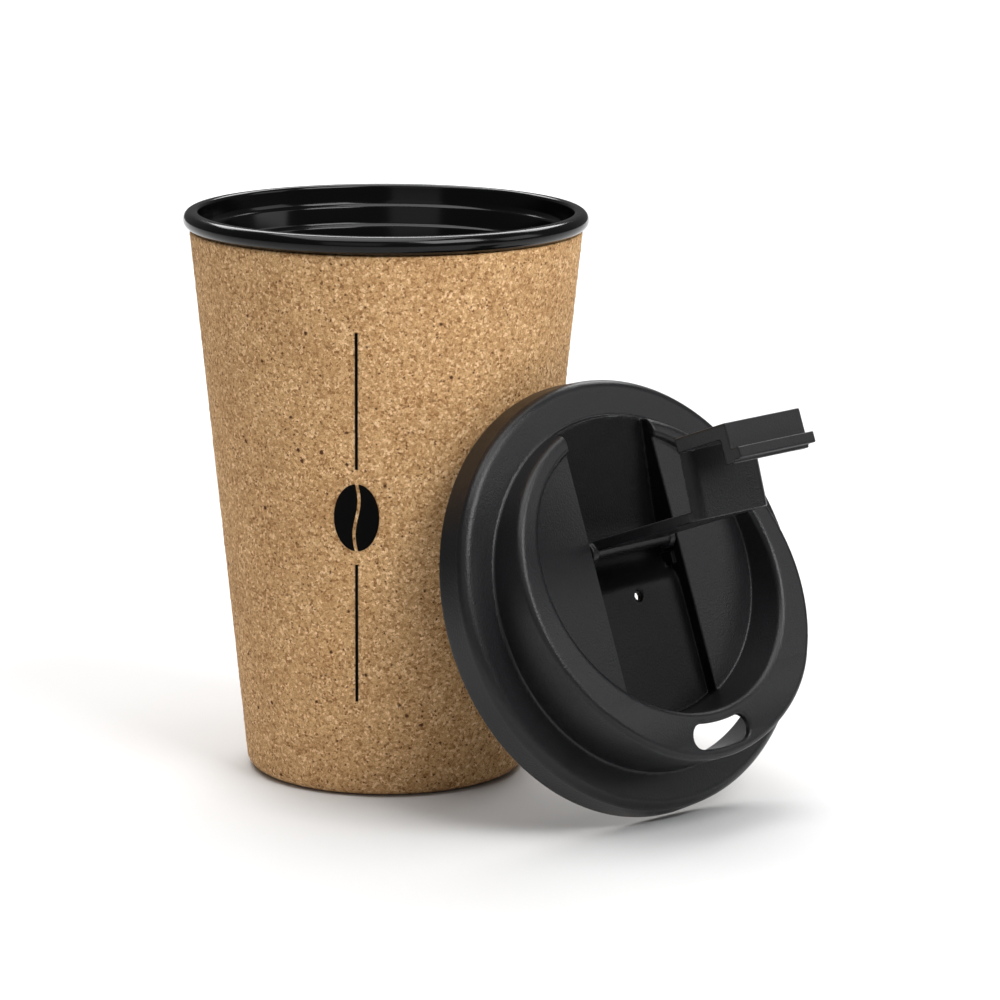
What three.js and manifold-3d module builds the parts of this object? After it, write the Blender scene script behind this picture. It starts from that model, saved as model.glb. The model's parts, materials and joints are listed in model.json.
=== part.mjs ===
// A cork-clad travel cup with its snap-on lid leaning against it, the lid's flip tab raised.
// Millimetres, +Z up. The origin is the centre of the cup's base, on the surface it stands on.
import * as THREE from "three";
import { mergeVertices } from "three/addons/utils/BufferGeometryUtils.js";
import Module from "manifold-3d";

const wasm = await Module();
wasm.setup();

// ---- Driving dimensions: the cup ----
const CUP_HEIGHT = 126.2;
const RIM_RADIUS = 45;
const RIM_HEIGHT = 4.2;
const MOUTH_RADIUS = 41.6;
const MOUTH_BEVEL = 0.8;
const SEAT_EDGE = 1.2;
const CORK_TOP_RADIUS = 43.6;
const CORK_BASE_RADIUS = 31.2;
const CORK_WALL = 1.6;
const CORK_FLOOR = 3.5;
const CORK_CORNER = 3;
const LINER_WALL = 1.2;
const FIRST_LEDGE = 5.1;
const SECOND_LEDGE = 8.9;
const LEDGE = 0.85;
const FLOOR_CORNER = 3;
const FIT_GAP = 0.3;

// ---- Driving dimensions: the lid, in its own frame ----
// Its origin is the middle of the shoulder plane, +Z is up when the lid is on the cup,
// and the drinking slot is at the front, towards -Y.
const SKIRT_RADIUS = 48.2;
const SKIRT_DEPTH = 7.8;
const SHOULDER_RADIUS = 47.6;
const SHOULDER_FILLET = 2.4;
const LID_WALL = 1.8;
const RIDGE_RADIUS = 38.3;
const RIDGE_DRAFT = 1;
const RIDGE_MIDDLE = 10.3;
const RIDGE_SLOPE = 0.18;
const RIDGE_FRONT = 15.35;
const RIDGE_FILLET = 1.2;
const RIDGE_BULGE = 0.7;
const RECESS_TOP_RADIUS = 32.4;
const RECESS_RADIUS = 31.2;
const RECESS_SHIFT = 3.7;
const DECK_HEIGHT = 3.1;
const CHANNEL_WIDTH = 24.8;
const CHANNEL_FLOOR = 0.2;
const RAMP_TOP = 1.5;
const POCKET_FLOOR = -2.9;
const POCKET_START = 1.5;
const POCKET_FRONT = 7;
const POCKET_BACK = 14;
const GUIDE_WIDTH = 1.1;
const GUIDE_FRONT = 4.2;
const GUIDE_BACK = 7.2;
const GUIDE_TOP = 0.9;
const HINGE_Y = 10.3;
const HINGE_Z = 0.7;
const PIN_RADIUS = 1.2;
const PIN_REACH = 1.2;
const SLOT_LENGTH = 16.2;
const SLOT_WIDTH = 5.6;
const SLOT_Y = -34;
const VENT_RADIUS = 1;
const VENT_Y = -0.8;
const GASKET_THICKNESS = 1.2;
const GASKET_DEPTH = 4.2;
const GASKET_FLAP = 2.6;

// ---- Driving dimensions: the flip tab, closed, in the lid's frame ----
const TAB_WIDTH = 21.9;
const ARM_BOTTOM = 0.9;
const ARM_THICKNESS = 2.3;
const KNUCKLE_RADIUS = 2.4;
const KNUCKLE_LENGTH = 1.6;
const BARREL_RADIUS = 2.05;
const BARREL_RISE = 0.45;
const RISER_FRONT = -26;
const RISER_THICKNESS = 2.4;
const RISER_LEAN = 1.1;
const RISER_CORNER = 3.4;
const CAP_BOTTOM = 15.7;
const CAP_THICKNESS = 3.1;
const END_WALL_RADIUS = 39.75;
const END_WALL_OUTSIDE = -40.85;
const END_WALL_BOTTOM = 10.2;
const LIP_REACH = 2.4;
const LIP_THICKNESS = 2.4;
const LIP_BOTTOM = 10.9;

// ---- How the parts lie at rest ----
// The lid stands on the edge of its skirt, tipped back against the cup, its tab raised square.
const LID_TILT = 69.44;
const LID_ROLL = 1.86;
const LID_X = 18.7;
const LID_Y = -63.65;
const TAB_RAISED = 90;

const RISER_BACK = RISER_FRONT + RISER_THICKNESS;
const EDGE_CHAMFER = 0.6;
const CLEAR_ABOVE = 24;
const CLEAR_BEYOND = 20;
const SEGMENTS = 64;
const rad = THREE.MathUtils.degToRad;

// ---- Helpers ----

// A closed geometry as a manifold-3d solid.
function solidOf(geometry) {
  const bare = geometry.clone();
  bare.deleteAttribute("normal");
  bare.deleteAttribute("uv");
  const merged = mergeVertices(bare, 1e-4);
  const mesh = new wasm.Mesh({
    numProp: 3,
    vertProperties: new Float32Array(merged.attributes.position.array),
    triVerts: new Uint32Array(merged.index.array),
  });
  return new wasm.Manifold(mesh);
}

// A manifold-3d solid as a three.js geometry.
function geometryOf(solid) {
  const mesh = solid.getMesh();
  const geometry = new THREE.BufferGeometry();
  geometry.setAttribute("position", new THREE.BufferAttribute(mesh.vertProperties, 3));
  geometry.setIndex(new THREE.BufferAttribute(mesh.triVerts, 1));
  geometry.computeVertexNormals();
  return geometry;
}

// A solid turned about Z from a profile of [radius, height] points, given bottom to top.
function turned(profile, segments = SEGMENTS) {
  const points = profile.map(([radius, height]) => new THREE.Vector2(radius, height));
  return new THREE.LatheGeometry(points, segments).rotateX(Math.PI / 2);
}

// An outline of [y, z] points, pushed out along X to both sides of the middle plane.
function slab(outline, width) {
  const shape = new THREE.Shape(outline.map(([y, z]) => new THREE.Vector2(y, z)));
  const geometry = new THREE.ExtrudeGeometry(shape, { depth: width, bevelEnabled: false });
  return geometry.translate(0, 0, -width / 2).rotateY(Math.PI / 2).rotateX(Math.PI / 2);
}

// Moves every vertex of a geometry through a function of its place.
function warped(geometry, move) {
  const places = geometry.attributes.position;
  const place = new THREE.Vector3();
  for (let i = 0; i < places.count; i += 1) {
    place.fromBufferAttribute(places, i);
    move(place);
    places.setXYZ(i, place.x, place.y, place.z);
  }
  return geometry;
}

// A quarter turn of points round a centre, from one angle to another, in degrees.
function arc(centreRadius, centreHeight, radius, from, to, steps = 6) {
  return Array.from({ length: steps + 1 }, (_, i) => {
    const angle = rad(from + ((to - from) * i) / steps);
    return [centreRadius + radius * Math.cos(angle), centreHeight + radius * Math.sin(angle)];
  });
}

function cylinderAlongX(radius, length, y, z, segments = 24) {
  const geometry = new THREE.CylinderGeometry(radius, radius, length, segments);
  return geometry.rotateZ(Math.PI / 2).translate(0, y, z);
}

// ---- The cup ----

// Radius of the cork's outside at a height.
function corkRadius(height) {
  const top = CUP_HEIGHT - RIM_HEIGHT;
  return CORK_BASE_RADIUS + ((CORK_TOP_RADIUS - CORK_BASE_RADIUS) * height) / top;
}

function corkBody() {
  const top = CUP_HEIGHT - RIM_HEIGHT;
  const wallAt = (height) => corkRadius(height) - CORK_WALL;
  const profile = [
    [0, 0],
    ...arc(corkRadius(CORK_CORNER) - CORK_CORNER, CORK_CORNER, CORK_CORNER, -90, 0),
    [corkRadius(top), top],
    [wallAt(top), top],
    [wallAt(CORK_FLOOR), CORK_FLOOR],
    [0, CORK_FLOOR],
  ];
  return turned(profile);
}

// The plastic liner: floor, tapered wall, two ledges under the mouth and the rolled rim.
function innerLiner() {
  const top = CUP_HEIGHT;
  const seat = top - RIM_HEIGHT + FIT_GAP;
  const outside = (height) => corkRadius(height) - CORK_WALL - FIT_GAP;
  const inside = (height) => outside(height) - LINER_WALL;
  const lower = (height) => inside(height) - LEDGE;
  const floor = CORK_FLOOR + FIT_GAP;
  const bead = (RIM_HEIGHT - FIT_GAP) / 2;
  const corner = floor + LINER_WALL + FLOOR_CORNER;
  const profile = [
    [0, floor],
    [outside(floor), floor],
    [outside(seat), seat],
    [RIM_RADIUS - SEAT_EDGE, seat],
    ...arc(RIM_RADIUS - bead, top - bead, bead, -60, 90, 8),
    [MOUTH_RADIUS + MOUTH_BEVEL, top],
    [MOUTH_RADIUS, top - MOUTH_BEVEL],
    [MOUTH_RADIUS - FIT_GAP, top - FIRST_LEDGE + SEAT_EDGE],
    [inside(top - FIRST_LEDGE), top - FIRST_LEDGE],
    [inside(top - SECOND_LEDGE), top - SECOND_LEDGE],
    [lower(top - SECOND_LEDGE - LEDGE), top - SECOND_LEDGE - LEDGE],
    [lower(corner), corner],
    ...arc(lower(corner) - FLOOR_CORNER, corner, FLOOR_CORNER, 0, -90, 4).slice(1),
    [0, floor + LINER_WALL],
  ];
  return turned(profile);
}

// ---- The lid ----

// Height of the ridge's crest: highest over the drinking slot, falling towards the back.
function crest(y) {
  return Math.min(RIDGE_MIDDLE - RIDGE_SLOPE * y, RIDGE_FRONT);
}

// The skirt and shoulder as one solid drum, made smaller on every side by an inset.
function drum(inset) {
  const fillet = SHOULDER_FILLET - inset / 2;
  const bottom = inset > 0 ? -SKIRT_DEPTH - LID_WALL : -SKIRT_DEPTH;
  return turned([
    [0, bottom],
    [SKIRT_RADIUS - inset, bottom],
    [SKIRT_RADIUS - inset, -SKIRT_DEPTH],
    ...arc(SHOULDER_RADIUS - inset - fillet, -inset - fillet, fillet, 0, 90),
    [0, -inset],
  ]);
}

// The ridge before its recess is cut: a turned block whose top is raised to the sloping crest
// and leans outwards over the front, where the lips rest.
function ridgeBlock(inset) {
  const fillet = RIDGE_FILLET / 10;
  const outside = RIDGE_RADIUS - inset;
  const profile = [
    [0, 0],
    [outside + RIDGE_DRAFT, 0],
    ...[0, 30, 60, 90].map((turn) => [
      outside - RIDGE_FILLET * (1 - Math.cos(rad(turn))),
      1 - fillet * (1 - Math.sin(rad(turn))),
    ]),
    [(outside + RECESS_RADIUS) / 2, 1],
    [RECESS_RADIUS / 2, 1],
    [0, 1],
  ];
  const foot = -1 - inset;
  return warped(turned(profile), (place) => {
    const facing = Math.max(0, -place.y) / Math.max(1, Math.hypot(place.x, place.y));
    const spread = 1 + (RIDGE_BULGE * facing ** 3 * place.z) / RIDGE_RADIUS;
    place.z = foot + place.z * (crest(place.y) - inset - foot);
    place.x *= spread;
    place.y *= spread;
  });
}

// The round recess inside the ridge, down to the deck. A margin makes it bigger on every side.
function recess(margin) {
  const top = CLEAR_ABOVE;
  const bottom = DECK_HEIGHT - margin;
  const flare = (RECESS_TOP_RADIUS - RECESS_RADIUS) / (RIDGE_FRONT - DECK_HEIGHT);
  const radiusAt = (height) => RECESS_RADIUS + margin + flare * (height - DECK_HEIGHT);
  const profile = [
    [0, bottom],
    [radiusAt(bottom), bottom],
    [radiusAt(top), top],
    [0, top],
  ];
  return turned(profile).translate(0, RECESS_SHIFT, 0);
}

// The channel that the tab's arm lies in: level at the front, sinking into a pocket round the
// hinge, then a ramp that runs out through the back of the ridge.
function channel(margin) {
  const front = RECESS_SHIFT - RECESS_RADIUS - margin;
  const rampEnd = RIDGE_RADIUS + RIDGE_DRAFT;
  const outline = [
    [front, CLEAR_ABOVE],
    [front, CHANNEL_FLOOR - margin],
    [POCKET_START, CHANNEL_FLOOR - margin],
    [POCKET_FRONT, POCKET_FLOOR - margin],
    [POCKET_BACK, POCKET_FLOOR - margin],
    [rampEnd, RAMP_TOP - margin],
    [rampEnd + CLEAR_BEYOND, RAMP_TOP - margin],
    [rampEnd + CLEAR_BEYOND, CLEAR_ABOVE],
  ];
  const block = solidOf(slab(outline, CHANNEL_WIDTH + 2 * margin));
  const bounds = turned([
    [0, -CLEAR_ABOVE],
    [RECESS_RADIUS + margin, -CLEAR_ABOVE],
    [RECESS_RADIUS + margin, CLEAR_ABOVE],
    [0, CLEAR_ABOVE],
  ]).translate(0, RECESS_SHIFT, 0);
  const backSize = 2 * SKIRT_RADIUS;
  const back = new THREE.BoxGeometry(backSize, backSize, 2 * CLEAR_ABOVE)
    .translate(0, backSize / 2 + RECESS_SHIFT, 0);
  return block.intersect(solidOf(bounds).add(solidOf(back)));
}

// The small rib on each side of the channel that steers the tab's pin into its bore.
function pinGuide(side) {
  const bottom = POCKET_FLOOR - LID_WALL / 2;
  const outer = CHANNEL_WIDTH / 2 + LID_WALL / 2;
  const inner = CHANNEL_WIDTH / 2 - GUIDE_WIDTH;
  const guide = new THREE.BoxGeometry(outer - inner, GUIDE_BACK - GUIDE_FRONT, GUIDE_TOP - bottom)
    .translate((side * (outer + inner)) / 2, (GUIDE_FRONT + GUIDE_BACK) / 2, (GUIDE_TOP + bottom) / 2);
  return solidOf(guide);
}

// The curved drinking slot, a band of the ridge's top between two round ends.
function slot() {
  const reach = -SLOT_Y;
  const half = SLOT_WIDTH / 2;
  const sweep = (SLOT_LENGTH - SLOT_WIDTH) / 2 / reach;
  const shape = new THREE.Shape();
  shape.absarc(0, 0, reach + half, -Math.PI / 2 - sweep, -Math.PI / 2 + sweep, false);
  const right = new THREE.Vector2(Math.sin(sweep) * reach, -Math.cos(sweep) * reach);
  shape.absarc(right.x, right.y, half, -Math.PI / 2 + sweep, Math.PI / 2 + sweep, false);
  shape.absarc(0, 0, reach - half, -Math.PI / 2 + sweep, -Math.PI / 2 - sweep, true);
  shape.absarc(-right.x, right.y, half, Math.PI / 2 - sweep, (Math.PI * 3) / 2 - sweep, false);
  const geometry = new THREE.ExtrudeGeometry(shape, {
    depth: CLEAR_ABOVE,
    bevelEnabled: false,
    curveSegments: 8,
  });
  return geometry.translate(0, 0, RIDGE_FRONT / 2);
}

function lidShell() {
  const outside = solidOf(drum(0)).add(solidOf(ridgeBlock(0)));
  const inside = solidOf(drum(LID_WALL)).add(solidOf(ridgeBlock(LID_WALL)));
  const hollow = inside.subtract(solidOf(recess(LID_WALL))).subtract(channel(LID_WALL));
  const vent = new THREE.CylinderGeometry(VENT_RADIUS, VENT_RADIUS, CLEAR_ABOVE, 20)
    .rotateX(Math.PI / 2)
    .translate(0, VENT_Y, 0);
  const pinHoles = cylinderAlongX(
    PIN_RADIUS + FIT_GAP,
    CHANNEL_WIDTH + 2 * (PIN_REACH + FIT_GAP),
    HINGE_Y,
    HINGE_Z,
  );
  const shell = outside
    .subtract(solidOf(recess(0)))
    .subtract(channel(0))
    .subtract(hollow)
    .add(pinGuide(-1))
    .add(pinGuide(1))
    .subtract(solidOf(slot()))
    .subtract(solidOf(vent))
    .subtract(solidOf(pinHoles));
  return geometryOf(shell);
}

// The soft seal ring inside the skirt, which grips the cup's rim.
function lidGasket() {
  const skirtInside = SKIRT_RADIUS - LID_WALL - FIT_GAP;
  const outside = SHOULDER_RADIUS - LID_WALL - FIT_GAP;
  const inside = outside - GASKET_THICKNESS;
  const top = -LID_WALL - FIT_GAP;
  const corner = SHOULDER_FILLET - LID_WALL / 2;
  const bottom = top - GASKET_DEPTH;
  const profile = [
    [inside - GASKET_FLAP, top - GASKET_THICKNESS],
    [inside, top - GASKET_THICKNESS],
    [inside, bottom],
    [skirtInside - FIT_GAP, bottom],
    [outside, top - corner - FIT_GAP],
    [outside - corner, top],
    [inside - GASKET_FLAP, top],
    [inside - GASKET_FLAP, top - GASKET_THICKNESS],
  ];
  return turned(profile);
}

// ---- The flip tab ----

// The arm and riser, seen from the side when closed.
function armOutline() {
  const armTop = ARM_BOTTOM + ARM_THICKNESS;
  const middle = CAP_BOTTOM + CAP_THICKNESS / 2;
  return [
    [HINGE_Y, ARM_BOTTOM],
    [HINGE_Y, armTop],
    [RISER_BACK, armTop],
    [RISER_BACK - RISER_LEAN, middle],
    [RISER_FRONT - RISER_LEAN, middle],
    [RISER_FRONT, ARM_BOTTOM],
  ];
}

// The cap over the ridge, a thick end wall and the thumb lip, seen from the side when closed.
function capOutline() {
  const capTop = CAP_BOTTOM + CAP_THICKNESS;
  const lipTop = LIP_BOTTOM + LIP_THICKNESS;
  const wallFront = END_WALL_OUTSIDE - LIP_REACH;
  const wallBack = -END_WALL_RADIUS + 4;
  return [
    [RISER_BACK - RISER_LEAN, capTop],
    [END_WALL_OUTSIDE, capTop],
    [END_WALL_OUTSIDE, lipTop],
    [wallFront, lipTop],
    [wallFront, LIP_BOTTOM],
    [END_WALL_OUTSIDE, LIP_BOTTOM],
    [END_WALL_OUTSIDE + EDGE_CHAMFER, END_WALL_BOTTOM],
    [wallBack, END_WALL_BOTTOM],
    [wallBack, CAP_BOTTOM],
    [RISER_BACK - RISER_LEAN, CAP_BOTTOM],
  ];
}

// The round space that hollows the end wall's inside, so that it runs round with the ridge.
function ridgeSpace() {
  return turned([
    [0, END_WALL_BOTTOM - 1],
    [END_WALL_RADIUS + EDGE_CHAMFER, END_WALL_BOTTOM - 1],
    [END_WALL_RADIUS + EDGE_CHAMFER, END_WALL_BOTTOM],
    [END_WALL_RADIUS, END_WALL_BOTTOM + EDGE_CHAMFER * 2],
    [END_WALL_RADIUS, CAP_BOTTOM],
    [0, CAP_BOTTOM],
  ]);
}

// The arm's outline from above, its front corners rounded to clear the round recess.
function armPlan() {
  const half = TAB_WIDTH / 2;
  const front = RISER_FRONT - RISER_LEAN;
  const turnY = front + RISER_CORNER;
  const shape = new THREE.Shape();
  shape.moveTo(half, HINGE_Y);
  shape.lineTo(-half, HINGE_Y);
  shape.lineTo(-half, turnY);
  shape.absarc(-half + RISER_CORNER, turnY, RISER_CORNER, Math.PI, 1.5 * Math.PI);
  shape.absarc(half - RISER_CORNER, turnY, RISER_CORNER, -Math.PI / 2, 0);
  return shape;
}

// The arm and riser: the side outline between the sides of the plan, which leans with the riser.
function armAndRiser() {
  const depth = 2 * CAP_BOTTOM;
  const plan = new THREE.ExtrudeGeometry(armPlan(), {
    depth,
    bevelEnabled: false,
    curveSegments: 6,
  });
  const leaning = warped(plan, (place) => {
    const share = (place.z - ARM_BOTTOM) / (CAP_BOTTOM - ARM_BOTTOM);
    place.y += RISER_LEAN * (1 - share);
  });
  return solidOf(slab(armOutline(), TAB_WIDTH)).intersect(solidOf(leaning));
}

// One knuckle disc with its pin, at the side of the arm's root.
function knuckle(side) {
  const discX = (side * (CHANNEL_WIDTH - KNUCKLE_LENGTH - 2 * FIT_GAP)) / 2;
  const disc = cylinderAlongX(KNUCKLE_RADIUS, KNUCKLE_LENGTH, HINGE_Y, HINGE_Z, 32);
  const root = KNUCKLE_LENGTH / 2 + FIT_GAP;
  const pinX = (side * (CHANNEL_WIDTH + PIN_REACH - root)) / 2;
  const pin = cylinderAlongX(PIN_RADIUS, PIN_REACH + root, HINGE_Y, HINGE_Z);
  return solidOf(disc.translate(discX, 0, 0)).add(solidOf(pin.translate(pinX, 0, 0)));
}

function flipTab() {
  const barrelLength = CHANNEL_WIDTH - 2 * FIT_GAP;
  const barrel = cylinderAlongX(BARREL_RADIUS, barrelLength, HINGE_Y, HINGE_Z + BARREL_RISE);
  const cap = solidOf(slab(capOutline(), TAB_WIDTH)).subtract(solidOf(ridgeSpace()));
  const tab = armAndRiser()
    .add(cap)
    .add(solidOf(barrel))
    .add(knuckle(-1))
    .add(knuckle(1));
  return geometryOf(tab).translate(0, -HINGE_Y, -HINGE_Z);
}

// ---- The assembly ----

function part(name, geometry, color, roughness) {
  const material = new THREE.MeshStandardMaterial({ color, roughness, metalness: 0 });
  const mesh = new THREE.Mesh(geometry, material);
  mesh.name = name;
  return mesh;
}

const cup = new THREE.Group();
cup.add(part("cork_body", corkBody(), 0xb98a5b, 0.85));
cup.add(part("inner_liner", innerLiner(), 0x101012, 0.2));

const tab = new THREE.Group();
tab.add(part("flip_tab", flipTab(), 0x1d1e20, 0.5));
tab.position.set(0, HINGE_Y, HINGE_Z);
tab.rotation.x = rad(-TAB_RAISED);

const lid = new THREE.Group();
lid.add(part("lid_shell", lidShell(), 0x1d1e20, 0.5));
lid.add(part("lid_gasket", lidGasket(), 0x2c2d2f, 0.7));
lid.add(tab);
lid.rotation.set(rad(LID_TILT), 0, rad(LID_ROLL));
const standing = SKIRT_RADIUS * Math.sin(rad(LID_TILT)) + SKIRT_DEPTH * Math.cos(rad(LID_TILT));
lid.position.set(LID_X, LID_Y, standing);

const travelCup = new THREE.Group();
travelCup.add(cup, lid);

export default travelCup;
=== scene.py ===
"""A cork-clad travel cup with its black flip-tab lid leaning against it."""
import json
import math

import bpy
import numpy as np
from mathutils import Matrix, Vector


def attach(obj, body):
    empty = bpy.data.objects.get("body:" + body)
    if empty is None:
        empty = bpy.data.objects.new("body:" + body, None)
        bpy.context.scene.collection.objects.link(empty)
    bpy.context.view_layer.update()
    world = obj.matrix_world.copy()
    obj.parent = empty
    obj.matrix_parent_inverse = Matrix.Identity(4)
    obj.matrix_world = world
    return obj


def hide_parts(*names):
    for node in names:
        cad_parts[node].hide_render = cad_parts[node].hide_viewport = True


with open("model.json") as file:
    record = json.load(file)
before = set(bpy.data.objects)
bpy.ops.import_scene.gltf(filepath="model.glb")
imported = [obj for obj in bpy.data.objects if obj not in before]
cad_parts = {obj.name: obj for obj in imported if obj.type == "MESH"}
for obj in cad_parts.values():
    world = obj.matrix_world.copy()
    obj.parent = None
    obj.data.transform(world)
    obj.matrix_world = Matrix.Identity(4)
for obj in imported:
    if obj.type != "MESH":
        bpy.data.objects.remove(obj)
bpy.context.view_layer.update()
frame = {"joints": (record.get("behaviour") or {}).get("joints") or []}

MM = 0.001
joints = {joint["name"]: joint for joint in frame["joints"]}

# ---- Cup sizes, in millimetres, as in the CAD part ----
CUP_HEIGHT = 126.2
RIM_RADIUS = 44.99  # a hundredth under the part's, to stay inside its facets' box
RIM_HEIGHT = 4.2
MOUTH_RADIUS = 41.6
CORK_TOP_RADIUS = 43.6
CORK_BASE_RADIUS = 31.2
CORK_WALL = 1.6
CORK_FLOOR = 3.5
CORK_CORNER = 3.0
LINER_WALL = 1.2
LINER_CORNER = 3.0
LIP_EDGE = 0.8
LEDGE = 0.85
FIT_GAP = 0.3

# ---- Lid sizes, in the lid's own frame: +Z off its top, the drinking slot towards -Y ----
SKIRT_RADIUS = 48.2
SKIRT_DEPTH = 7.8
SKIRT_FLARE = 0.11
SHOULDER_RADIUS = 47.6
SHOULDER_FILLET = 2.4
LID_WALL = 1.8
LID_EDGE = 0.3
RIDGE_RADIUS = 38.3
RIDGE_DRAFT = 1.0
RIDGE_EDGE = 1.3
RIDGE_MIDDLE = 10.3
RIDGE_SLOPE = 0.18
RIDGE_FRONT = 15.35
RIDGE_BULGE = 0.7
RECESS_TOP_RADIUS = 32.4
RECESS_RADIUS = 31.2
RECESS_SHIFT = 3.7
DECK_HEIGHT = 3.1
CHANNEL_WIDTH = 24.8
CHANNEL_FLOOR = 0.2
RAMP_TOP = 1.5
POCKET_FLOOR = -2.9
POCKET_START = 1.5
POCKET_FRONT = 7.0
POCKET_BACK = 14.0
GUIDE_WIDTH = 1.1
GUIDE_FRONT = 4.2
GUIDE_BACK = 7.2
GUIDE_TOP = 0.9
HINGE_Y = 10.3
HINGE_Z = 0.7
PIN_RADIUS = 1.2
PIN_REACH = 1.2
SLOT_LENGTH = 16.2
SLOT_WIDTH = 5.6
SLOT_Y = -34.0
VENT_RADIUS = 1.0
VENT_Y = -0.8
GASKET_THICKNESS = 1.2
GASKET_DEPTH = 4.2
GASKET_FLAP = 2.6

# ---- Flip tab sizes, closed, in the lid's frame ----
TAB_WIDTH = 21.9
ARM_BOTTOM = 0.9
ARM_THICKNESS = 2.3
KNUCKLE_RADIUS = 2.4
KNUCKLE_LENGTH = 1.6
BARREL_RADIUS = 2.05
BARREL_RISE = 0.45
RISER_FRONT = -26.0
RISER_THICKNESS = 2.4
RISER_LEAN = 1.1
RISER_CORNER = 3.4
TAB_EDGE = 0.3
CAP_BOTTOM = 15.7
CAP_THICKNESS = 3.1
END_WALL_RADIUS = 39.75
END_WALL_OUTSIDE = -40.85
END_WALL_BOTTOM = 10.2
LIP_REACH = 2.4
LIP_THICKNESS = 2.4
LIP_BOTTOM = 10.9

# ---- Print on the cork: sizes in millimetres, and the way round that it faces ----
PRINT_RAISE = 0.14
PRINT_OFFSET = 6.4
PRINT_TURN = math.radians(-128.9)
LOWER_LINE = (22.2, 53.6)
UPPER_LINE = (75.0, 105.3)
LINE_WIDTH = 0.64
BEAN_CENTRE = 64.2
BEAN_WIDTH = 9.8
BEAN_HEIGHT = 15.2
BEAN_SPLIT = 0.7

# ---- The channel's painted shade: its shine and its colour as shares of the deck's ----
CHANNEL_SHADE_SHINE = 0.55
CHANNEL_SHADE_TONE = 0.5


# ---- Mesh helpers ----

def make_object(name, points, faces, normals=None):
    """A smooth-shaded object from points in metres and faces of four or three."""
    mesh = bpy.data.meshes.new(name)
    mesh.from_pydata([tuple(p) for p in points], [], [tuple(f) for f in faces])
    mesh.update()
    mesh.polygons.foreach_set("use_smooth", [True] * len(mesh.polygons))
    if normals is not None:
        mesh.normals_split_custom_set_from_vertices([tuple(n) for n in normals])
    mesh.validate()
    obj = bpy.data.objects.new(name, mesh)
    bpy.context.scene.collection.objects.link(obj)
    return obj


def arc(radius, height, size, start, end, steps=8):
    """Points [radius, height] round a centre, from one angle to another, in degrees."""
    turns = np.radians(np.linspace(start, end, steps + 1))
    return [[radius + size * math.cos(t), height + size * math.sin(t)] for t in turns]


def resampled(profile, step):
    """The profile with points added so that none lie further apart than a step."""
    out = [np.array(profile[0], float)]
    for point in profile[1:]:
        point = np.array(point, float)
        gap = np.linalg.norm(point - out[-1])
        count = max(1, int(math.ceil(gap / step)))
        start = out[-1]
        out += [start + (point - start) * (i + 1) / count for i in range(count)]
    return np.array(out)


def lathe(name, profile, segments, place=None, relief=None, loop=False):
    """A solid turned about Z from a profile in millimetres that starts and ends on the axis, or is a loop."""
    count = len(profile)
    turns = np.linspace(0, 2 * math.pi, segments, endpoint=False)
    on_axis = [] if loop else [0, count - 1]
    starts, rings, faces = [], [], []
    for i, (radius, height) in enumerate(profile):
        starts.append(sum(len(ring) for ring in rings))
        if i in on_axis:
            rings.append(np.array([[0.0, 0.0, height]]))
        else:
            rings.append(np.stack([radius * np.cos(turns), radius * np.sin(turns),
                                   np.full(segments, height)], axis=1))
    spread = np.concatenate(rings)
    for i in range(count if loop else count - 1):
        a, b = starts[i], starts[(i + 1) % count]
        for s in range(segments):
            t = (s + 1) % segments
            if i in on_axis:
                faces.append((a, b + t, b + s))
            elif (i + 1) in on_axis:
                faces.append((a + s, a + t, b))
            else:
                faces.append((a + s, a + t, b + t, b + s))
    if relief is not None:
        spread = relief(spread)
    if place is not None:
        spread = spread @ np.array(place.to_3x3()).T + np.array(place.translation) / MM
    return make_object(name, spread * MM, faces)


# ---- Distance fields, in millimetres ----

def join_round(a, b, size):
    """The union of two fields with a round fillet in the corner between them."""
    return np.maximum(size, np.minimum(a, b)) - np.hypot(np.maximum(size - a, 0), np.maximum(size - b, 0))


def meet_round(a, b, size):
    """The part common to two fields with its edge rounded over."""
    return np.minimum(-size, np.maximum(a, b)) + np.hypot(np.maximum(size + a, 0), np.maximum(size + b, 0))


def rounded_box(a, b, half_a, half_b, size):
    """A rectangle about the origin with rounded corners."""
    qa, qb = np.abs(a) - half_a + size, np.abs(b) - half_b + size
    return np.hypot(np.maximum(qa, 0), np.maximum(qb, 0)) + np.minimum(np.maximum(qa, qb), 0) - size


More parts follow.
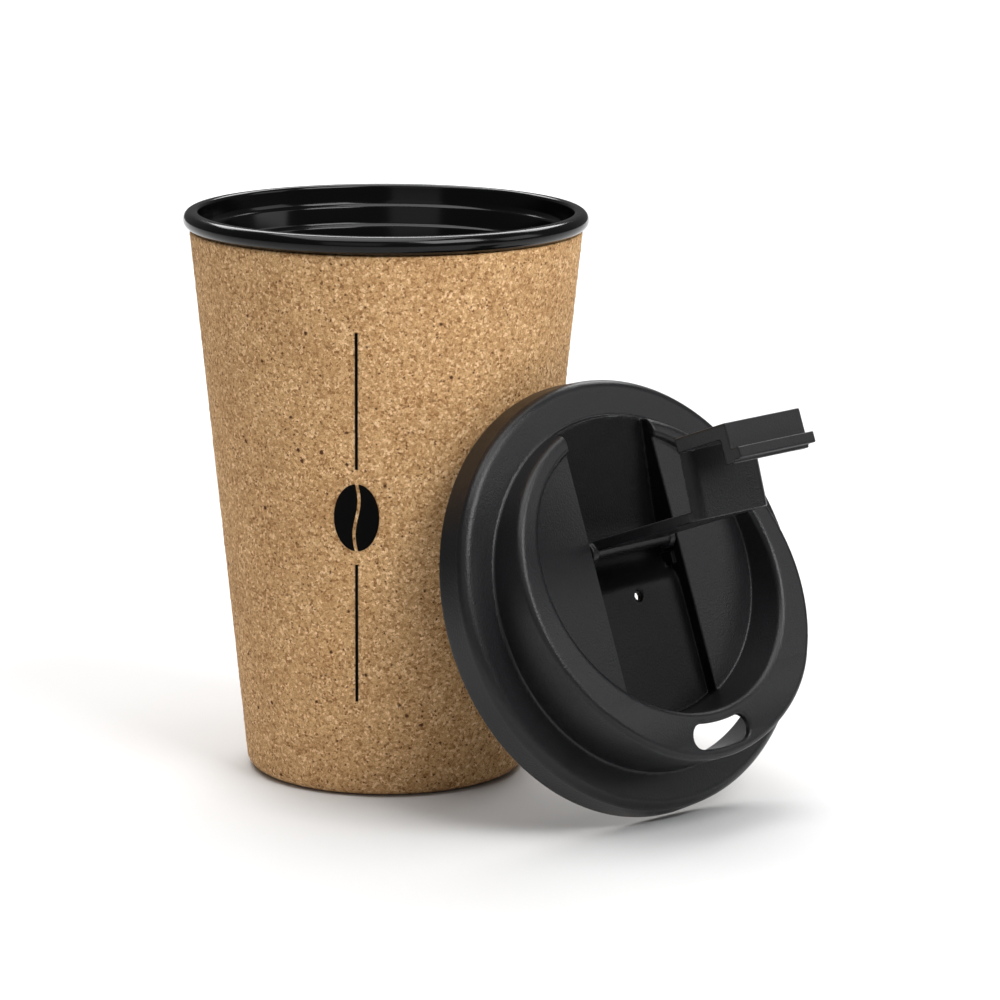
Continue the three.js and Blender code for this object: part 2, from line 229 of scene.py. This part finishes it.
def surface_of(field, low, high, step):
    """Quads on a field's zero surface: a point for each grid cell it crosses, and the field's slope there."""
    axes = [np.arange(low[i], high[i] + step, step) for i in range(3)]
    gx, gy, gz = np.meshgrid(*axes, indexing="ij")
    values = field(gx, gy, gz)
    inside = values < 0
    shape = tuple(n - 1 for n in inside.shape)
    total = np.zeros(shape + (3,))
    crossings = np.zeros(shape)
    corners = [(i, j, k) for i in (0, 1) for j in (0, 1) for k in (0, 1)]

    def cut(offset):
        return tuple(slice(o, o + n) for o, n in zip(offset, shape))

    for a in corners:
        for axis in range(3):
            if a[axis]:
                continue
            b = tuple(1 if i == axis else a[i] for i in range(3))
            va, vb = values[cut(a)], values[cut(b)]
            changed = inside[cut(a)] != inside[cut(b)]
            share = np.where(changed, va / np.where(changed, va - vb, 1), 0)
            for i in range(3):
                total[..., i] += changed * (a[i] + (share if i == axis else 0))
            crossings += changed
    active = crossings > 0
    index = np.full(shape, -1)
    index[active] = np.arange(active.sum())
    cells = np.argwhere(active)
    points = np.array(low) + step * (cells + total[active] / crossings[active][:, None])
    faces = []
    for axis in range(3):
        one, two = (axis + 1) % 3, (axis + 2) % 3
        near = [slice(1, n) for n in shape]
        near[axis] = slice(0, shape[axis])
        start = inside[tuple(near)]
        far = list(near)
        far[axis] = slice(1, shape[axis] + 1)
        end = inside[tuple(far)]
        ring = []
        for d_one, d_two in ((0, 0), (1, 0), (1, 1), (0, 1)):
            cell = [slice(1, n) for n in shape]
            cell[axis] = slice(0, shape[axis])
            cell[one] = slice(1 - d_one, shape[one] - d_one)
            cell[two] = slice(1 - d_two, shape[two] - d_two)
            ring.append(index[tuple(cell)])
        ring = np.stack(ring, axis=-1)
        faces.append(ring[start & ~end])
        faces.append(ring[~start & end][:, ::-1])
    faces = np.concatenate(faces)
    for _ in range(5):
        value, slope = slope_of(field, points)
        steepness = (slope ** 2).sum(axis=1, keepdims=True).clip(0.1)
        points = points - np.clip(value, -step / 2, step / 2)[:, None] * slope / steepness
    return points, faces, slope_of(field, points, 0.08)[1]


def slope_of(field, points, reach=0.02):
    """A field's value and gradient at points."""
    value = field(*points.T)
    slope = np.stack([
        field(*(points + step).T) - field(*(points - step).T)
        for step in np.eye(3) * reach
    ], axis=1) / (2 * reach)
    return value, slope


def place_field(name, field, low, high, step, place):
    """An object on a field's surface, put where a matrix says."""
    points, faces, slope = surface_of(field, low, high, step)
    turn = np.array(place.to_3x3())
    slope = slope @ turn.T
    slope /= np.linalg.norm(slope, axis=1, keepdims=True).clip(1e-9)
    spread = points @ turn.T * MM + np.array(place.translation)
    return make_object(name, spread, faces, slope)


# ---- Where the lid and the tab are: the lid's axes lie along its joints, and the tab stands raised ----

lift = joints["lid_lift_off"]
hinge = joints["flip_tab_hinge"]
up = Vector(lift["axis"]).normalized()
across = -Vector(hinge["axis"]).normalized()
back = up.cross(across)
turn = Matrix((across, back, up)).transposed()
pivot = Vector(hinge["pos_m"])
lid_place = Matrix.Translation(pivot - turn @ Vector((0, HINGE_Y * MM, HINGE_Z * MM))) @ turn.to_4x4()
raised = Matrix.Rotation(math.radians(90), 4, -across)
tab_place = Matrix.Translation(pivot) @ raised @ Matrix.Translation(-pivot) @ lid_place


# ---- The cup ----

top = CUP_HEIGHT - RIM_HEIGHT


def cork_radius(height):
    return CORK_BASE_RADIUS + (CORK_TOP_RADIUS - CORK_BASE_RADIUS) * height / top


def cork_relief(points):
    """Raises and sinks the outside a little, as pressed granules do."""
    rng = np.random.default_rng(4)
    radius = np.hypot(points[:, 0], points[:, 1])
    outside = (radius > cork_radius(points[:, 2]) - 0.8) & (points[:, 2] > 1.0)
    shift = np.zeros(len(points))
    for _ in range(60):
        wave = rng.normal(size=3) * rng.uniform(1.5, 5.0)
        shift += np.sin(points @ wave + rng.uniform(0, 6.28))
    shift *= 0.045 / math.sqrt(30)
    shift = np.where(outside, shift - 0.03, 0)
    grown = (radius + shift) / np.maximum(radius, 1e-6)
    return points * np.stack([grown, grown, np.ones_like(grown)], axis=1)


cork_profile = [
    [0, 0],
    *arc(cork_radius(CORK_CORNER) - CORK_CORNER, CORK_CORNER, CORK_CORNER, -90, 0, 14),
    [cork_radius(top) - 0.02, top - 0.25],
    [cork_radius(top) - 0.3, top],
    [cork_radius(top) - CORK_WALL, top],
    [cork_radius(CORK_FLOOR) - CORK_WALL, CORK_FLOOR],
    [0, CORK_FLOOR],
]
outer = resampled(cork_profile[:-4], 0.7)
cork = lathe("cork", np.concatenate([outer, np.array(cork_profile[-4:])]), 360, relief=cork_relief)


def liner_outside(height):
    """The liner's radius at a height, a fit gap inside the cork."""
    return cork_radius(height) - CORK_WALL - FIT_GAP


def liner_inside(height):
    return liner_outside(height) - LINER_WALL


floor = CORK_FLOOR + FIT_GAP
seat = top + FIT_GAP
bead = (RIM_HEIGHT - FIT_GAP) / 2
corner_height = floor + LINER_WALL + LINER_CORNER
corner_radius = liner_inside(corner_height) - LEDGE
inside = [
    *arc(MOUTH_RADIUS + LIP_EDGE, CUP_HEIGHT - LIP_EDGE, LIP_EDGE, 90, 180, 6),
    [MOUTH_RADIUS - 0.3, CUP_HEIGHT - 3.5],
    [MOUTH_RADIUS - 0.42, CUP_HEIGHT - 4.2],
    [MOUTH_RADIUS - 0.62, CUP_HEIGHT - 4.5],
    [liner_inside(CUP_HEIGHT - 4.9) + 0.25, CUP_HEIGHT - 4.75],
    [liner_inside(CUP_HEIGHT - 4.9) + 0.08, CUP_HEIGHT - 4.9],
    [liner_inside(CUP_HEIGHT - 5.2), CUP_HEIGHT - 5.2],
    [liner_inside(CUP_HEIGHT - 8.4), CUP_HEIGHT - 8.4],
    [liner_inside(CUP_HEIGHT - 8.8) - 0.08, CUP_HEIGHT - 8.8],
    [liner_inside(CUP_HEIGHT - 9.1) - 0.3, CUP_HEIGHT - 9.05],
    [liner_inside(CUP_HEIGHT - 9.1) - 0.65, CUP_HEIGHT - 9.2],
    [liner_inside(CUP_HEIGHT - 9.3) - 0.8, CUP_HEIGHT - 9.4],
    [liner_inside(CUP_HEIGHT - 9.8) - LEDGE, CUP_HEIGHT - 9.8],
    [corner_radius, corner_height],
]
liner_profile = [
    [0, floor],
    [liner_outside(floor) - 0.4, floor],
    [liner_outside(floor + 0.4), floor + 0.4],
    [liner_outside(seat), seat],
    [RIM_RADIUS - 1.2, seat],
    *arc(RIM_RADIUS - bead, CUP_HEIGHT - bead, bead, -60, 80, 16),
    *inside,
    *arc(corner_radius - LINER_CORNER, corner_height, LINER_CORNER, 0, -90, 8)[1:],
    [0, floor + LINER_WALL],
]
liner = lathe("liner", resampled(liner_profile, 6.0), 256)

# ---- The lid ----


def crest(y):
    """Height of the ridge's top: rising to the front, level over the slot."""
    slope = RIDGE_MIDDLE - RIDGE_SLOPE * y
    blend = 0.5 + 0.5 * np.clip((RIDGE_FRONT - slope) / 1.2, -1, 1)
    return slope * blend + RIDGE_FRONT * (1 - blend) - 0.3 * blend * (1 - blend)


def recess_wall(x, y, z):
    """The round recess, off centre and a little wider at the top."""
    flare = (RECESS_TOP_RADIUS - RECESS_RADIUS) / (RIDGE_FRONT - DECK_HEIGHT)
    return np.hypot(x, y - RECESS_SHIFT) - RECESS_RADIUS - flare * (z - DECK_HEIGHT)


def softer(a, b, size, sign):
    """The greater (sign 1) or the lesser (sign -1) of two heights, with the bend between them eased."""
    return (a + b + sign * np.hypot(a - b, size)) / 2


def channel_bed(y, z):
    """What lies above the channel's bed: level at the front, a pocket round the hinge, a ramp to the back."""
    fall = (POCKET_FLOOR - CHANNEL_FLOOR) / (POCKET_FRONT - POCKET_START)
    rise = (RAMP_TOP - POCKET_FLOOR) / (RIDGE_RADIUS + RIDGE_DRAFT - POCKET_BACK)
    bed = softer(CHANNEL_FLOOR, CHANNEL_FLOOR + fall * (y - POCKET_START), 0.5, -1)
    bed = softer(bed, POCKET_FLOOR, 0.6, 1)
    bed = softer(bed, POCKET_FLOOR + rise * (y - POCKET_BACK), 0.4, 1)
    return (bed - z) * 0.95


def lid_form(x, y, z, bottom):
    """The lid as if it were filled in underneath down to the given height."""
    r = np.hypot(x, y)
    side = r - SHOULDER_RADIUS - SKIRT_FLARE * np.maximum(-SHOULDER_FILLET - z, 0)
    drum = meet_round(side, z, SHOULDER_FILLET)
    drum = meet_round(drum, bottom - z, 0.5)
    height = crest(y)
    share = np.clip(z / height, -0.2, 1.2)
    bulge = RIDGE_BULGE * (np.maximum(-y, 0) / np.maximum(r, 1)) ** 3
    wall = r - RIDGE_RADIUS - RIDGE_DRAFT * (1 - share) - bulge * share
    ridge = meet_round(wall, (z - height) * 0.985, RIDGE_EDGE)
    ridge = np.maximum(ridge, -3 - z)
    form = join_round(drum, ridge, 0.5)
    recess = meet_round(recess_wall(x, y, z), DECK_HEIGHT - z, 0.35)
    form = meet_round(form, -recess, RIDGE_EDGE)
    front = np.where(y < RECESS_SHIFT, np.hypot(x, y - RECESS_SHIFT), np.abs(x)) - RECESS_RADIUS
    channel = meet_round(np.abs(x) - CHANNEL_WIDTH / 2, channel_bed(y, z), LID_EDGE)
    channel = meet_round(channel, front, LID_EDGE)
    guide = rounded_box(np.abs(x) - CHANNEL_WIDTH / 2, y - (GUIDE_FRONT + GUIDE_BACK) / 2,
                        GUIDE_WIDTH, (GUIDE_BACK - GUIDE_FRONT) / 2, 0.4)
    guide = meet_round(guide, z - GUIDE_TOP, LID_EDGE)
    guide = np.maximum(guide, POCKET_FLOOR - 0.5 - z)
    return join_round(meet_round(form, -channel, LID_EDGE), guide, 0.2)


def lid_field(x, y, z):
    """The lid as a shell, with its drinking slot, its vent hole and the holes for the tab's pins."""
    shell = meet_round(lid_form(x, y, z, -SKIRT_DEPTH), -(lid_form(x, y, z, -40) + LID_WALL), 0.45)
    turn = np.arctan2(x, -y)
    sweep = (SLOT_LENGTH - SLOT_WIDTH) / 2 / -SLOT_Y
    near = np.clip(turn, -sweep, sweep)
    slot = np.hypot(x + SLOT_Y * np.sin(near), y - SLOT_Y * np.cos(near)) - SLOT_WIDTH / 2
    slot = np.maximum(slot, 8 - z)
    shell = meet_round(shell, -slot, 0.55)
    vent = np.hypot(x, y - VENT_Y) - VENT_RADIUS
    shell = meet_round(shell, -vent, 0.35)
    pin = np.hypot(y - HINGE_Y, z - HINGE_Z) - PIN_RADIUS - FIT_GAP
    pin = np.maximum(pin, np.abs(x) - CHANNEL_WIDTH / 2 - PIN_REACH - FIT_GAP)
    return np.maximum(shell, -pin)


lid_step = 0.57
lid = place_field("lid", lid_field, (-49.5, -49.5, -8.8), (49.5, 49.5, 16.8), lid_step, lid_place)


def gasket_profile():
    """A soft ring behind the skirt, with a flap that lies under the lid's top."""
    skirt_inside = SKIRT_RADIUS - LID_WALL - FIT_GAP
    outside = SHOULDER_RADIUS - LID_WALL - FIT_GAP
    within = outside - GASKET_THICKNESS
    high = -LID_WALL - FIT_GAP
    corner = SHOULDER_FILLET - LID_WALL / 2
    low = high - GASKET_DEPTH
    return [
        [within - GASKET_FLAP, high - GASKET_THICKNESS],
        [within - 0.3, high - GASKET_THICKNESS],
        [within, high - GASKET_THICKNESS - 0.3],
        [within, low + 0.3],
        [within + 0.3, low],
        [skirt_inside - 0.5, low],
        [skirt_inside - 0.35, low + 0.2],
        [outside, high - corner - 0.3],
        [outside - corner, high],
        [within - GASKET_FLAP, high],
    ]


gasket = lathe("seal_ring", gasket_profile(), 192, lid_place, loop=True)


# ---- The flip tab ----

def plate_between(y, z, low_y, high_y, low_z, high_z, corner):
    """A slab seen from the side, between two places along Y and two heights, with rounded corners."""
    return rounded_box(y - (low_y + high_y) / 2, z - (low_z + high_z) / 2,
                       (high_y - low_y) / 2, (high_z - low_z) / 2, corner)


def tab_field(x, y, z):
    """The flip tab, closed: arm, riser, hollow cap with its thumb lip, barrel and pins."""
    half = TAB_WIDTH / 2
    cap_top = CAP_BOTTOM + CAP_THICKNESS
    rise = np.clip((z - ARM_BOTTOM) / (CAP_BOTTOM - ARM_BOTTOM), -0.3, 1.3)
    lean = RISER_LEAN * rise
    arm = plate_between(y, z, RISER_FRONT, HINGE_Y, ARM_BOTTOM, ARM_BOTTOM + ARM_THICKNESS, 0.5)
    riser = plate_between(y + lean, z, RISER_FRONT, RISER_FRONT + RISER_THICKNESS,
                          ARM_BOTTOM, cap_top, TAB_EDGE)
    plate = np.minimum(arm, riser)
    front = RISER_FRONT - lean
    plan_a = np.abs(x) - half + RISER_CORNER
    plan_b = front - y + RISER_CORNER
    plan = (np.hypot(np.maximum(plan_a, 0), np.maximum(plan_b, 0))
            + np.minimum(np.maximum(plan_a, plan_b), 0) - RISER_CORNER)
    plate = meet_round(plate, plan, 0.4)
    inner_end = RISER_FRONT + RISER_THICKNESS - RISER_LEAN
    cap = plate_between(y, z, END_WALL_OUTSIDE, inner_end, CAP_BOTTOM, cap_top, TAB_EDGE)
    wall = plate_between(y, z, END_WALL_OUTSIDE, SLOT_Y, END_WALL_BOTTOM, cap_top, TAB_EDGE)
    space = meet_round(np.hypot(x, y) - END_WALL_RADIUS, z - CAP_BOTTOM, 0.5)
    wall = meet_round(wall, -space, 0.5)
    lip = plate_between(y, z, END_WALL_OUTSIDE - LIP_REACH, END_WALL_OUTSIDE + 1,
                        LIP_BOTTOM, LIP_BOTTOM + LIP_THICKNESS, TAB_EDGE)
    head = join_round(np.minimum(cap, wall), lip, TAB_EDGE)
    head = meet_round(head, np.abs(x) - half, 0.25)
    plate = np.minimum(plate, head)
    reach = CHANNEL_WIDTH / 2 - FIT_GAP
    barrel = np.hypot(y - HINGE_Y, z - HINGE_Z - BARREL_RISE) - BARREL_RADIUS
    barrel = meet_round(barrel, np.abs(x) - reach, 0.2)
    disc = np.hypot(y - HINGE_Y, z - HINGE_Z) - KNUCKLE_RADIUS
    disc = meet_round(disc, np.abs(np.abs(x) - reach + KNUCKLE_LENGTH / 2) - KNUCKLE_LENGTH / 2, 0.25)
    pin = np.hypot(y - HINGE_Y, z - HINGE_Z) - PIN_RADIUS
    pin = np.maximum(pin, np.abs(np.abs(x) - reach - PIN_REACH / 2) - PIN_REACH / 2 - FIT_GAP)
    return np.minimum(join_round(join_round(plate, barrel, 0.4), disc, TAB_EDGE), pin)


tab_step = 0.3
tab = place_field("flip_tab_moulding", tab_field, (-14.6, -46, -3.4), (14.6, 14.6, 20), tab_step, tab_place)

# ---- Printed decoration on the cork: two hairlines and a plain coffee bean ----


def drape(name, cells):
    """Grids of cells [side, height] in millimetres laid on the cork, to one side of where it faces."""
    points, faces = [], []
    for grid in cells:
        rows, columns = grid.shape[:2]
        start = len(points)
        for side, height in grid.reshape(-1, 2):
            radius = cork_radius(height) + PRINT_RAISE
            angle = PRINT_TURN + math.asin((side - PRINT_OFFSET) / radius)
            points.append((radius * math.cos(angle) * MM, radius * math.sin(angle) * MM, height * MM))
        for i in range(rows - 1):
            for j in range(columns - 1):
                a = start + i * columns + j
                faces.append((a, a + 1, a + columns + 1, a + columns))
    return make_object(name, points, faces)


def hairline(low, high):
    half = LINE_WIDTH / 2
    return np.array([[[-half, height], [half, height]] for height in np.linspace(low, high, 60)])


def bean_half(side):
    """The left (side -1) or right (side 1) half of a coffee bean, with a gently curved split between them."""
    rows = []
    for share in np.linspace(-0.985, 0.985, 40):
        height = BEAN_CENTRE + BEAN_HEIGHT / 2 * share
        edge = BEAN_WIDTH / 2 * math.sqrt(1 - share * share)
        curve = 0.55 * math.sin(share * 3.1)
        inner = curve + side * BEAN_SPLIT / 2
        outer = side * max(edge, side * inner + 0.02)
        rows.append([[across_it, height] for across_it in np.linspace(*sorted((inner, outer)), 10)])
    return np.array(rows)


print_cells = [hairline(*LOWER_LINE), hairline(*UPPER_LINE), bean_half(-1), bean_half(1)]
decoration = drape("cork_print", print_cells)

# ---- Materials ----


def material(name):
    made = bpy.data.materials.new(name)
    made.use_nodes = True
    nodes = made.node_tree.nodes
    return made, nodes, made.node_tree.links, nodes["Principled BSDF"]


def ramp(nodes, stops):
    node = nodes.new("ShaderNodeValToRGB")
    while len(node.color_ramp.elements) < len(stops):
        node.color_ramp.elements.new(0.5)
    for element, (place, colour) in zip(node.color_ramp.elements, stops):
        element.position = place
        element.color = (*colour, 1)
    return node


def cork_material():
    """Fine pressed cork: pale granules under half a millimetre, hairline gaps, small dark specks of bark."""
    made, nodes, links, shader = material("cork_granules")
    place = nodes.new("ShaderNodeTexCoord")

    def noise(scale, detail, roughness=0.6):
        node = nodes.new("ShaderNodeTexNoise")
        node.inputs["Scale"].default_value = scale
        node.inputs["Detail"].default_value = detail
        node.inputs["Roughness"].default_value = roughness
        links.new(place.outputs["Object"], node.inputs["Vector"])
        return node

    def blend(kind, factor, a, b):
        node = nodes.new("ShaderNodeMix")
        node.data_type = "RGBA"
        node.blend_type = kind
        if isinstance(factor, float):
            node.inputs["Factor"].default_value = factor
        else:
            links.new(factor, node.inputs["Factor"])
        links.new(a, node.inputs["A"])
        if isinstance(b, tuple):
            node.inputs["B"].default_value = b
        else:
            links.new(b, node.inputs["B"])
        return node.outputs["Result"]

    def granules(vector, scale):
        node = nodes.new("ShaderNodeTexVoronoi")
        node.inputs["Scale"].default_value = scale
        links.new(vector, node.inputs["Vector"])
        split = nodes.new("ShaderNodeSeparateColor")
        links.new(node.outputs["Color"], split.inputs[0])
        return node, split

    def toned(source, stops):
        node = ramp(nodes, stops)
        links.new(source, node.inputs[0])
        return node.outputs[0]

    def times(a, b):
        node = nodes.new("ShaderNodeMath")
        node.operation = "MULTIPLY"
        links.new(a, node.inputs[0])
        links.new(b, node.inputs[1])
        return node.outputs[0]

    bent = blend("LINEAR_LIGHT", 0.0004, place.outputs["Object"], noise(1500, 2).outputs["Color"])
    cells, tones = granules(bent, 1900)
    colour = toned(tones.outputs[0], [
        (0.0, (0.30, 0.155, 0.060)),
        (0.15, (0.46, 0.270, 0.120)),
        (0.45, (0.575, 0.365, 0.175)),
        (0.8, (0.66, 0.440, 0.225)),
        (1.0, (0.86, 0.640, 0.390)),
    ])
    fine = noise(4200, 3, 0.75)
    colour = blend("MULTIPLY", 1.0, colour, toned(fine.outputs[0], [
        (0.32, (0.38, 0.30, 0.22)), (0.46, (0.92, 0.90, 0.88)), (0.68, (1.25, 1.25, 1.25))]))
    specks, chosen = granules(bent, 1000)
    near = toned(specks.outputs["Distance"], [(0.16, (1, 1, 1)), (0.30, (0, 0, 0))])
    few = toned(chosen.outputs[1], [(0.74, (0, 0, 0)), (0.80, (1, 1, 1))])
    colour = blend("MIX", times(near, few), colour, (0.11, 0.045, 0.018, 1))
    flecks, picked = granules(bent, 420)
    near = toned(flecks.outputs["Distance"], [(0.13, (1, 1, 1)), (0.24, (0, 0, 0))])
    few = toned(picked.outputs[2], [(0.90, (0, 0, 0)), (0.93, (1, 1, 1))])
    colour = blend("MIX", times(near, few), colour, (0.085, 0.032, 0.014, 1))
    colour = blend("MULTIPLY", 1.0, colour, toned(noise(70, 3).outputs[0], [
        (0.3, (0.93, 0.86, 0.80)), (0.7, (1.13, 1.09, 1.06))]))
    links.new(colour, shader.inputs["Base Color"])
    shader.inputs["Roughness"].default_value = 0.85
    shader.inputs["Specular IOR Level"].default_value = 0.2
    bump = nodes.new("ShaderNodeBump")
    bump.inputs["Strength"].default_value = 0.55
    bump.inputs["Distance"].default_value = 0.00012
    links.new(fine.outputs[0], bump.inputs["Height"])
    links.new(bump.outputs[0], shader.inputs["Normal"])
    return made


def plastic(name, colour, rough, spread, grain, bump_size, shine):
    """Moulded plastic: tone and roughness drift a little, and a fine grain lies in the surface."""
    made, nodes, links, shader = material(name)
    place = nodes.new("ShaderNodeTexCoord")
    drift = nodes.new("ShaderNodeTexNoise")
    drift.inputs["Scale"].default_value = 60
    drift.inputs["Detail"].default_value = 4
    links.new(place.outputs["Object"], drift.inputs["Vector"])
    levels = nodes.new("ShaderNodeMapRange")
    levels.inputs["From Min"].default_value = 0.3
    levels.inputs["From Max"].default_value = 0.7
    levels.inputs["To Min"].default_value = rough - spread
    levels.inputs["To Max"].default_value = rough + spread
    links.new(drift.outputs[0], levels.inputs["Value"])
    links.new(levels.outputs[0], shader.inputs["Roughness"])
    tint = ramp(nodes, [(0.3, tuple(c * 0.88 for c in colour)), (0.7, tuple(c * 1.12 for c in colour))])
    links.new(drift.outputs[0], tint.inputs[0])
    links.new(tint.outputs[0], shader.inputs["Base Color"])
    texture = nodes.new("ShaderNodeTexNoise")
    texture.inputs["Scale"].default_value = grain
    texture.inputs["Detail"].default_value = 3
    links.new(place.outputs["Object"], texture.inputs["Vector"])
    bump = nodes.new("ShaderNodeBump")
    bump.inputs["Strength"].default_value = 0.35
    bump.inputs["Distance"].default_value = bump_size
    links.new(texture.outputs[0], bump.inputs["Height"])
    links.new(bump.outputs[0], shader.inputs["Normal"])
    shader.inputs["Specular IOR Level"].default_value = shine
    return made


def channel_painted_shade(made):
    """Paints shade into the lid's channel: a darker colour and a weaker shine than the deck on each side of
    it.
    """
    nodes, links = made.node_tree.nodes, made.node_tree.links
    shader = nodes["Principled BSDF"]
    shine = shader.inputs["Specular IOR Level"].default_value

    def maths(operation, first, *others):
        node = nodes.new("ShaderNodeMath")
        node.operation = operation
        links.new(first, node.inputs[0])
        for socket, other in zip(node.inputs[1:], others):
            if isinstance(other, float):
                socket.default_value = other
            else:
                links.new(other, socket)
        return node.outputs[0]

    place = nodes.new("ShaderNodeTexCoord")
    local = nodes.new("ShaderNodeMapping")
    local.inputs["Location"].default_value = lid_place.inverted().translation
    local.inputs["Rotation"].default_value = lid_place.inverted().to_euler("XYZ")
    links.new(place.outputs["Object"], local.inputs["Vector"])
    parts = nodes.new("ShaderNodeSeparateXYZ")
    links.new(local.outputs[0], parts.inputs[0])
    x, y, z = parts.outputs
    out_squared = maths("ADD", maths("MULTIPLY", x, x), maths("MULTIPLY", y, y))
    reach = (RIDGE_RADIUS + RIDGE_DRAFT) * MM
    front_end = -34.5 * MM
    # painted shade: this mask picks out the channel's floor and walls below the deck
    inside = maths("LESS_THAN", maths("ABSOLUTE", x), (CHANNEL_WIDTH / 2 + 0.05) * MM)
    for limit in (
        maths("GREATER_THAN", y, front_end),
        maths("LESS_THAN", out_squared, reach ** 2),
        maths("LESS_THAN", z, (DECK_HEIGHT - 0.3) * MM),
    ):
        inside = maths("MULTIPLY", inside, limit)
    # painted shade: the channel's shine drops to a share of the deck's
    drop = (CHANNEL_SHADE_SHINE - 1) * shine
    links.new(maths("MULTIPLY_ADD", inside, drop, shine), shader.inputs["Specular IOR Level"])
    # painted shade: the channel's base colour is multiplied down by the shade tone
    darker = nodes.new("ShaderNodeMix")
    darker.data_type = "RGBA"
    darker.blend_type = "MULTIPLY"
    links.new(inside, darker.inputs[0])
    links.new(shader.inputs["Base Color"].links[0].from_socket, darker.inputs[6])
    darker.inputs[7].default_value = (CHANNEL_SHADE_TONE, CHANNEL_SHADE_TONE, CHANNEL_SHADE_TONE, 1)
    links.new(darker.outputs[2], shader.inputs["Base Color"])
    return made


def paint(obj, made):
    obj.data.materials.clear()
    obj.data.materials.append(made)


satin = ((0.0085, 0.0085, 0.0096), 0.34, 0.04, 2400, 0.0002, 0.31)
paint(cork, cork_material())
paint(liner, plastic("gloss_black_plastic", (0.002, 0.002, 0.0022), 0.14, 0.03, 250, 0.00003, 0.26))
# the lid's plastic carries painted shade in its channel
paint(lid, channel_painted_shade(plastic("satin_black_lid_plastic", *satin)))
paint(tab, plastic("satin_black_tab_plastic", *satin))
paint(gasket, plastic("black_silicone", (0.014, 0.014, 0.014), 0.6, 0.06, 900, 0.00004, 0.3))
paint(decoration, plastic("black_ink", (0.0015, 0.0015, 0.0015), 0.65, 0.05, 2500, 0.00003, 0.05))

for piece, body, node, slot in (
    (cork, "cup", "cork_body", "cork"),
    (liner, "cup", "inner_liner", "liner_plastic"),
    (lid, "lid", "lid_shell", "lid_plastic"),
    (gasket, "lid", "lid_gasket", "seal"),
    (tab, "tab", "flip_tab", "lid_plastic"),
    (decoration, "cup", None, "lid_plastic"),
):
    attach(piece, body)
    if node:
        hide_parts(node)

# ---- Floor, light and camera ----


def floor_material():
    made, _, _, shader = material("pale_floor")
    shader.inputs["Base Color"].default_value = (0.72, 0.72, 0.72, 1)
    shader.inputs["Roughness"].default_value = 0.9
    shader.inputs["Specular IOR Level"].default_value = 0.1
    return made


bpy.ops.mesh.primitive_plane_add(size=6, location=(0, 0, -0.0002))
ground = bpy.context.object
ground.name = "ground"
paint(ground, floor_material())

world = bpy.data.worlds.new("studio")
bpy.context.scene.world = world
world.use_nodes = True
world.node_tree.nodes["Background"].inputs[0].default_value = (1, 1, 1, 1)
world.node_tree.nodes["Background"].inputs[1].default_value = 0.12


def softbox(name, place, target, width, height, power):
    """A rectangular lamp at one place, aimed at another, in metres and watts."""
    light = bpy.data.lights.new(name, "AREA")
    light.shape = "RECTANGLE"
    light.size, light.size_y = width, height
    light.energy = power
    obj = bpy.data.objects.new(name, light)
    bpy.context.scene.collection.objects.link(obj)
    obj.location = place
    obj.rotation_euler = (Vector(target) - Vector(place)).to_track_quat("-Z", "Y").to_euler()


softbox("key", (0.05, -0.68, 0.78), (0, 0, 0.09), 0.5, 0.5, 6.6)
softbox("front", (0.95, -1.0, 0.7), (0, 0, 0.05), 0.7, 0.7, 2.6)
softbox("left", (-1.2, -0.75, 0.75), (0, 0, 0.06), 0.9, 1.0, 1.5)
softbox("overhead", (-0.1, 0.1, 1.3), (0, 0, 0), 1.2, 1.0, 14)
softbox("backdrop", (1.5, 1.8, 1.7), (1.7, 2.0, 0), 2.4, 2.4, 110)

lens = bpy.data.cameras.new("camera")
lens.lens = 151.58
lens.sensor_width = 36
lens.clip_start = 0.05
camera = bpy.data.objects.new("camera", lens)
bpy.context.scene.collection.objects.link(camera)
ahead = Vector((0.635641, 0.744498, -0.204155)).normalized()
right = ahead.cross(Vector((0, 0, 1))).normalized()
above = right.cross(ahead)
roll = 0.00598
right, above = (right * math.cos(roll) + above * math.sin(roll),
                above * math.cos(roll) - right * math.sin(roll))
camera.matrix_world = Matrix.Translation((-0.581929, -0.720976, 0.253676)) @ Matrix(
    (right, above, -ahead)).transposed().to_4x4()
bpy.context.scene.camera = camera
bpy.context.scene.view_settings.view_transform = "Standard"

bpy.context.view_layer.update()
